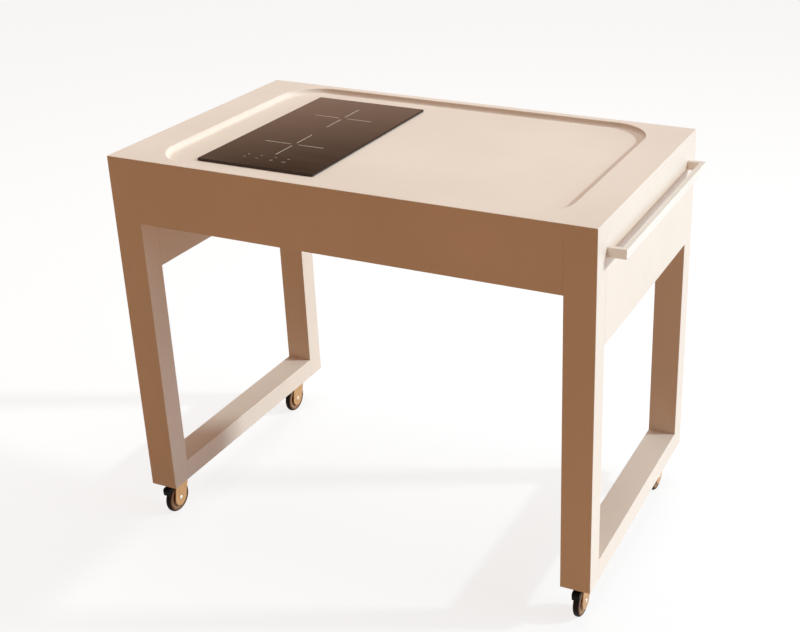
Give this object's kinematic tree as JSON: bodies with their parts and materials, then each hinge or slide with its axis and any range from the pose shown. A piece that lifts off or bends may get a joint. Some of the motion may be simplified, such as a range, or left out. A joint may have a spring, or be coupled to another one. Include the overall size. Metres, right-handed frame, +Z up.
{
  "type": "mobile kitchen island with built-in hob",
  "caption": "Mobile kitchen island on braked castors: box-section frame, coved recessed worktop with a flush induction hob, and a towel rail along one side.",
  "frame": {"origin": "on the floor, under the middle of the bounding box", "axes": "+X along the worktop towards the towel rail, +Y to the back, +Z up"},
  "size_m": [1.16, 0.668, 0.918],
  "materials": {
    "solid_surface": "satin, one cream colour all over",
    "rail_metal": "satin cream, as the frame",
    "hob_glass": "polished black glass ceramic",
    "foam": "dark closed-cell foam",
    "zinc_sheet": "zinc-plated sheet",
    "aluminium_sheet": "plain sheet",
    "copper_winding": "enamelled winding on a carrier",
    "circuit_board": "green board with parts",
    "ivory_plastic": "plain moulding",
    "black_plastic": "fine-grained moulding",
    "timber": "planed softwood",
    "castor_zinc": "yellow-passivated pressed steel",
    "bright_steel": "bright plated fasteners",
    "wheel_plastic": "brown-grey moulding",
    "tyre": "soft dark rubber"
  },
  "bodies": {
    "frame": {"worktop": "solid_surface", "front_apron": "solid_surface", "rear_apron": "solid_surface", "left_apron": "solid_surface", "right_apron": "solid_surface", "left_bottom_rail": "solid_surface", "right_bottom_rail": "solid_surface", "leg_front_left": "solid_surface", "leg_front_right": "solid_surface", "leg_rear_left": "solid_surface", "leg_rear_right": "solid_surface", "corner_braces": "zinc_sheet", "bearer_left": "timber", "bearer_middle": "timber", "bearer_right": "timber", "batten_front": "timber", "batten_rear": "timber", "base_cover": "solid_surface", "cover_screws": "bright_steel", "cable_gland": "black_plastic", "hob_glass": "hob_glass", "hob_seal": "foam", "hob_tray": "zinc_sheet", "hob_clamps": "zinc_sheet", "coil_plate": "aluminium_sheet", "coil_front": "copper_winding", "coil_rear": "copper_winding", "power_board": "circuit_board", "terminal_block": "ivory_plastic", "touch_board": "circuit_board", "fan_housing": "black_plastic", "towel_rail": "rail_metal", "rail_screws": "bright_steel", "castor_screws": "bright_steel", "plate_front_left": "castor_zinc", "plate_front_right": "castor_zinc", "plate_rear_left": "castor_zinc", "plate_rear_right": "castor_zinc"},
    "fan": {"fan_rotor": "black_plastic"},
    "fork_front_left": {"fork_front_left": "castor_zinc", "axle_front_left": "bright_steel"},
    "wheel_front_left": {"wheel_front_left": "wheel_plastic", "tyre_front_left": "tyre"},
    "pedal_front_left": {"pedal_front_left": "black_plastic"},
    "fork_front_right": {"fork_front_right": "castor_zinc", "axle_front_right": "bright_steel"},
    "wheel_front_right": {"wheel_front_right": "wheel_plastic", "tyre_front_right": "tyre"},
    "pedal_front_right": {"pedal_front_right": "black_plastic"},
    "fork_rear_left": {"fork_rear_left": "castor_zinc", "axle_rear_left": "bright_steel"},
    "wheel_rear_left": {"wheel_rear_left": "wheel_plastic", "tyre_rear_left": "tyre"},
    "pedal_rear_left": {"pedal_rear_left": "black_plastic"},
    "fork_rear_right": {"fork_rear_right": "castor_zinc", "axle_rear_right": "bright_steel"},
    "wheel_rear_right": {"wheel_rear_right": "wheel_plastic", "tyre_rear_right": "tyre"},
    "pedal_rear_right": {"pedal_rear_right": "black_plastic"}
  },
  "joints": [
    {"name": "fan_spin", "type": "hinge", "parent": "frame", "child": "fan", "pos_m": [-0.322, -0.132, 0.8637], "axis": [0, 0, 1], "continuous": true},
    {"name": "swivel_front_left", "type": "hinge", "parent": "frame", "child": "fork_front_left", "pos_m": [-0.546, -0.267, 0.08], "axis": [0, 0, 1], "continuous": true},
    {"name": "roll_front_left", "type": "hinge", "parent": "fork_front_left", "child": "wheel_front_left", "pos_m": [-0.546, -0.293, 0.0375], "axis": [1, 0, 0], "continuous": true},
    {"name": "brake_front_left", "type": "hinge", "parent": "fork_front_left", "child": "pedal_front_left", "pos_m": [-0.546, -0.30254, 0.07722], "axis": [1, 0, 0], "range_deg": [0, 9]},
    {"name": "swivel_front_right", "type": "hinge", "parent": "frame", "child": "fork_front_right", "pos_m": [0.506, -0.267, 0.08], "axis": [0, 0, 1], "continuous": true},
    {"name": "roll_front_right", "type": "hinge", "parent": "fork_front_right", "child": "wheel_front_right", "pos_m": [0.506, -0.293, 0.0375], "axis": [1, 0, 0], "continuous": true},
    {"name": "brake_front_right", "type": "hinge", "parent": "fork_front_right", "child": "pedal_front_right", "pos_m": [0.506, -0.30254, 0.07722], "axis": [1, 0, 0], "range_deg": [0, 9]},
    {"name": "swivel_rear_left", "type": "hinge", "parent": "frame", "child": "fork_rear_left", "pos_m": [-0.546, 0.267, 0.08], "axis": [0, 0, 1], "continuous": true},
    {"name": "roll_rear_left", "type": "hinge", "parent": "fork_rear_left", "child": "wheel_rear_left", "pos_m": [-0.546, 0.241, 0.0375], "axis": [1, 0, 0], "continuous": true},
    {"name": "brake_rear_left", "type": "hinge", "parent": "fork_rear_left", "child": "pedal_rear_left", "pos_m": [-0.546, 0.23146, 0.07722], "axis": [1, 0, 0], "range_deg": [0, 9]},
    {"name": "swivel_rear_right", "type": "hinge", "parent": "frame", "child": "fork_rear_right", "pos_m": [0.506, 0.267, 0.08], "axis": [0, 0, 1], "continuous": true},
    {"name": "roll_rear_right", "type": "hinge", "parent": "fork_rear_right", "child": "wheel_rear_right", "pos_m": [0.506, 0.241, 0.0375], "axis": [1, 0, 0], "continuous": true},
    {"name": "brake_rear_right", "type": "hinge", "parent": "fork_rear_right", "child": "pedal_rear_right", "pos_m": [0.506, 0.23146, 0.07722], "axis": [1, 0, 0], "range_deg": [0, 9]}
  ]
}
